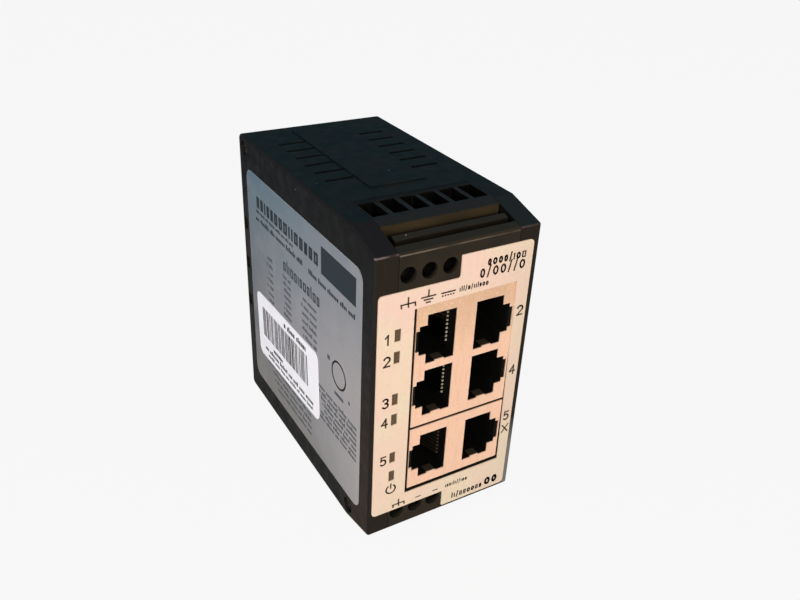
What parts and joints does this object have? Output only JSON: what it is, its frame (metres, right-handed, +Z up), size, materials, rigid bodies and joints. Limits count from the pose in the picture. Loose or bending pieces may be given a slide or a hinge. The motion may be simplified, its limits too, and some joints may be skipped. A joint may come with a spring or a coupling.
{
  "type": "din rail ethernet switch",
  "caption": "Compact network switch in a dark moulded box for a 35 mm rail, with stacked modular sockets, status lights, screw terminals above and below, and a sprung rail latch",
  "frame": {"origin": "middle of the underside of the whole part, label to rail hook", "axes": "+X to the right of someone facing the sockets, +Y back towards the rail, +Z up"},
  "size_m": [0.0407, 0.0834, 0.0782],
  "materials": {
    "case_plastic": "moulded, fine matt texture",
    "terminal_plastic": "moulded, smooth matt",
    "label_film": "printed film, matt",
    "side_label_film": "printed film, satin",
    "sticker_paper": "coated paper",
    "shield_metal": "tinned sheet, satin",
    "socket_plastic": "moulded, smooth",
    "contact_gold": "gold plated",
    "terminal_steel": "zinc plated",
    "busbar_copper": "tinned copper alloy",
    "fastener_steel": "zinc plated",
    "latch_plastic": "moulded, smooth",
    "spring_steel": "drawn wire",
    "board_laminate": "solder mask",
    "light_pipe_clear": "smoked clear moulding",
    "lamp_lens": "clear epoxy",
    "holder_plastic": "moulded",
    "chip_epoxy": "moulded epoxy",
    "capacitor_sleeve": "shrink sleeve",
    "ferrite_grey": "sintered ferrite",
    "crystal_can": "drawn steel can",
    "fuse_ceramic": "glazed tube"
  },
  "bodies": {
    "case": {"barcode_sticker": "sticker_paper", "board_screws": "fastener_steel", "bottom_terminal_board": "board_laminate", "bottom_terminal_housing": "terminal_plastic", "bridge_rectifier": "chip_epoxy", "bulk_capacitor_1": "capacitor_sleeve", "bulk_capacitor_2": "capacitor_sleeve", "clock_crystal": "crystal_can", "contact_bar_1": "busbar_copper", "contact_bar_2": "busbar_copper", "contact_bar_3": "busbar_copper", "contact_bar_4": "busbar_copper", "contact_bar_5": "busbar_copper", "contact_bar_6": "busbar_copper", "cover_screws": "fastener_steel", "foot_screws": "fastener_steel", "front_label": "label_film", "housing": "case_plastic", "input_fuse": "fuse_ceramic", "latch_spring": "spring_steel", "led_holder_1": "holder_plastic", "led_holder_2": "holder_plastic", "led_holder_3": "holder_plastic", "light_pipe_1": "light_pipe_clear", "light_pipe_2": "light_pipe_clear", "light_pipe_3": "light_pipe_clear", "line_transformer_1": "chip_epoxy", "line_transformer_2": "chip_epoxy", "line_transformer_3": "chip_epoxy", "lower_socket_body": "socket_plastic", "lower_socket_contacts": "contact_gold", "lower_socket_shield": "shield_metal", "main_board": "board_laminate", "power_inductor": "ferrite_grey", "rail_foot": "latch_plastic", "side_cover": "case_plastic", "side_label": "side_label_film", "status_leds": "lamp_lens", "switch_chip": "chip_epoxy", "top_terminal_board": "board_laminate", "top_terminal_housing": "terminal_plastic", "upper_socket_body": "socket_plastic", "upper_socket_contacts": "contact_gold", "upper_socket_shield": "shield_metal"},
    "latch": {"rail_latch": "latch_plastic"},
    "screw_1": {"terminal_screw_1": "terminal_steel"},
    "cage_1": {"clamp_cage_1": "terminal_steel"},
    "screw_2": {"terminal_screw_2": "terminal_steel"},
    "cage_2": {"clamp_cage_2": "terminal_steel"},
    "screw_3": {"terminal_screw_3": "terminal_steel"},
    "cage_3": {"clamp_cage_3": "terminal_steel"},
    "screw_4": {"terminal_screw_4": "terminal_steel"},
    "cage_4": {"clamp_cage_4": "terminal_steel"},
    "screw_5": {"terminal_screw_5": "terminal_steel"},
    "cage_5": {"clamp_cage_5": "terminal_steel"},
    "screw_6": {"terminal_screw_6": "terminal_steel"},
    "cage_6": {"clamp_cage_6": "terminal_steel"}
  },
  "joints": [
    {"name": "latch_slide", "type": "slide", "parent": "case", "child": "latch", "axis": [0, 0, -1], "range_m": [0, 0.004], "stiffness_N_per_m": 500, "springref_m": -0.003, "deforming": ["latch_spring"]},
    {"name": "screw_turn_1", "type": "hinge", "parent": "case", "child": "screw_1", "pos_m": [-0.0125, -0.03648, 0.0699], "axis": [0, 1, 0], "range_deg": [0, 2000.5]},
    {"name": "cage_lift_1", "type": "slide", "parent": "case", "child": "cage_1", "axis": [0, -1, 0], "range_m": [0, 0.0025]},
    {"name": "screw_turn_2", "type": "hinge", "parent": "case", "child": "screw_2", "pos_m": [-0.0075, -0.03648, 0.0699], "axis": [0, 1, 0], "range_deg": [0, 2000.5]},
    {"name": "cage_lift_2", "type": "slide", "parent": "case", "child": "cage_2", "axis": [0, -1, 0], "range_m": [0, 0.0025]},
    {"name": "screw_turn_3", "type": "hinge", "parent": "case", "child": "screw_3", "pos_m": [-0.0025, -0.03648, 0.0699], "axis": [0, 1, 0], "range_deg": [0, 2000.5]},
    {"name": "cage_lift_3", "type": "slide", "parent": "case", "child": "cage_3", "axis": [0, -1, 0], "range_m": [0, 0.0025]},
    {"name": "screw_turn_4", "type": "hinge", "parent": "case", "child": "screw_4", "pos_m": [-0.0125, -0.03648, 0.0068], "axis": [0, 1, 0], "range_deg": [0, 2000.5]},
    {"name": "cage_lift_4", "type": "slide", "parent": "case", "child": "cage_4", "axis": [0, -1, 0], "range_m": [0, 0.0025]},
    {"name": "screw_turn_5", "type": "hinge", "parent": "case", "child": "screw_5", "pos_m": [-0.0075, -0.03648, 0.0068], "axis": [0, 1, 0], "range_deg": [0, 2000.5]},
    {"name": "cage_lift_5", "type": "slide", "parent": "case", "child": "cage_5", "axis": [0, -1, 0], "range_m": [0, 0.0025]},
    {"name": "screw_turn_6", "type": "hinge", "parent": "case", "child": "screw_6", "pos_m": [-0.0025, -0.03648, 0.0068], "axis": [0, 1, 0], "range_deg": [0, 2000.5]},
    {"name": "cage_lift_6", "type": "slide", "parent": "case", "child": "cage_6", "axis": [0, -1, 0], "range_m": [0, 0.0025]}
  ],
  "couplings": [
    {"joint": "screw_turn_1", "follows": "cage_lift_1", "rad_per_m": 13963},
    {"joint": "screw_turn_2", "follows": "cage_lift_2", "rad_per_m": 13963},
    {"joint": "screw_turn_3", "follows": "cage_lift_3", "rad_per_m": 13963},
    {"joint": "screw_turn_4", "follows": "cage_lift_4", "rad_per_m": 13963},
    {"joint": "screw_turn_5", "follows": "cage_lift_5", "rad_per_m": 13963},
    {"joint": "screw_turn_6", "follows": "cage_lift_6", "rad_per_m": 13963}
  ]
}
